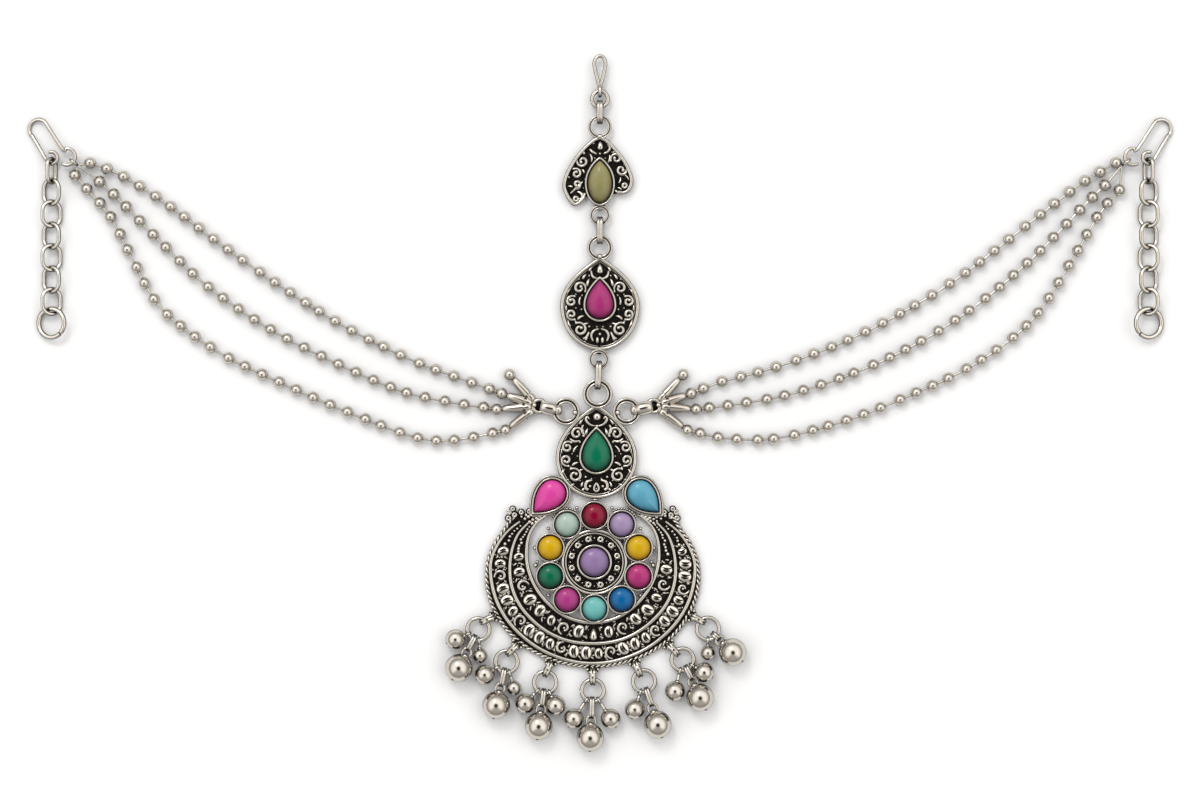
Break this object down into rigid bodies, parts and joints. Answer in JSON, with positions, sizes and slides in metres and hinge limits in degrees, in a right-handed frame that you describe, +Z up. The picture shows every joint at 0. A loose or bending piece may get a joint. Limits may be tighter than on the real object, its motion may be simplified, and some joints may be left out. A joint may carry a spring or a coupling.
{
  "type": "matha patti",
  "caption": "Head jewel: stone-set crescent pendant under a column of smaller pendants, bead strands to hooks with extender chains at each side, and a fringe of balls.",
  "frame": {"origin": "middle of the rosette's disc, on its flat back, which lies on the surface", "axes": "+X from the left hook to the right hook as the picture shows it, +Y from the fringe to the top hook, +Z up from the surface towards the stones"},
  "size_m": [0.3434, 0.2085, 0.0087],
  "materials": {
    "oxidised_silver": "polished silver high spots over near-black oxidised recesses",
    "violet_glass": "polished domed glass, foil backed",
    "emerald_glass": "polished domed glass, foil backed",
    "magenta_glass": "polished domed glass, foil backed",
    "olive_glass": "polished domed glass, foil backed",
    "pink_glass": "polished domed glass, foil backed",
    "sky_glass": "polished domed glass, foil backed",
    "crimson_glass": "polished domed glass, foil backed",
    "mint_glass": "polished domed glass, foil backed",
    "amber_glass": "polished domed glass, foil backed",
    "green_glass": "polished domed glass, foil backed",
    "orchid_glass": "polished domed glass, foil backed",
    "aqua_glass": "polished domed glass, foil backed",
    "cobalt_glass": "polished domed glass, foil backed",
    "fuchsia_glass": "polished domed glass, foil backed",
    "lilac_glass": "polished domed glass, foil backed"
  },
  "bodies": {
    "root": {"fringe_drop_1": "oxidised_silver", "fringe_drop_2": "oxidised_silver", "fringe_drop_3": "oxidised_silver", "fringe_drop_4": "oxidised_silver", "fringe_drop_5": "oxidised_silver", "fringe_drop_6": "oxidised_silver", "fringe_drop_7": "oxidised_silver", "fringe_ring_1": "oxidised_silver", "fringe_ring_2": "oxidised_silver", "fringe_ring_3": "oxidised_silver", "fringe_ring_4": "oxidised_silver", "fringe_ring_5": "oxidised_silver", "fringe_ring_6": "oxidised_silver", "fringe_ring_7": "oxidised_silver", "left_connector": "oxidised_silver", "left_end_ring": "oxidised_silver", "left_extender": "oxidised_silver", "left_fan": "oxidised_silver", "left_gather_ring": "oxidised_silver", "left_hook": "oxidised_silver", "left_strand_lower": "oxidised_silver", "left_strand_middle": "oxidised_silver", "left_strand_upper": "oxidised_silver", "lower_link": "oxidised_silver", "main_pendant_frame": "oxidised_silver", "mid_pendant_frame": "oxidised_silver", "right_connector": "oxidised_silver", "right_end_ring": "oxidised_silver", "right_extender": "oxidised_silver", "right_fan": "oxidised_silver", "right_gather_ring": "oxidised_silver", "right_hook": "oxidised_silver", "right_strand_lower": "oxidised_silver", "right_strand_middle": "oxidised_silver", "right_strand_upper": "oxidised_silver", "stone_centre": "violet_glass", "stone_main": "emerald_glass", "stone_mid": "magenta_glass", "stone_rosette_01": "crimson_glass", "stone_rosette_02": "mint_glass", "stone_rosette_03": "amber_glass", "stone_rosette_04": "green_glass", "stone_rosette_05": "orchid_glass", "stone_rosette_06": "aqua_glass", "stone_rosette_07": "cobalt_glass", "stone_rosette_08": "fuchsia_glass", "stone_rosette_09": "amber_glass", "stone_rosette_10": "lilac_glass", "stone_side_left": "pink_glass", "stone_side_right": "sky_glass", "stone_top": "olive_glass", "top_hook": "oxidised_silver", "top_hook_ring": "oxidised_silver", "top_link": "oxidised_silver", "top_pendant_frame": "oxidised_silver", "upper_link": "oxidised_silver"}
  },
  "joints": []
}
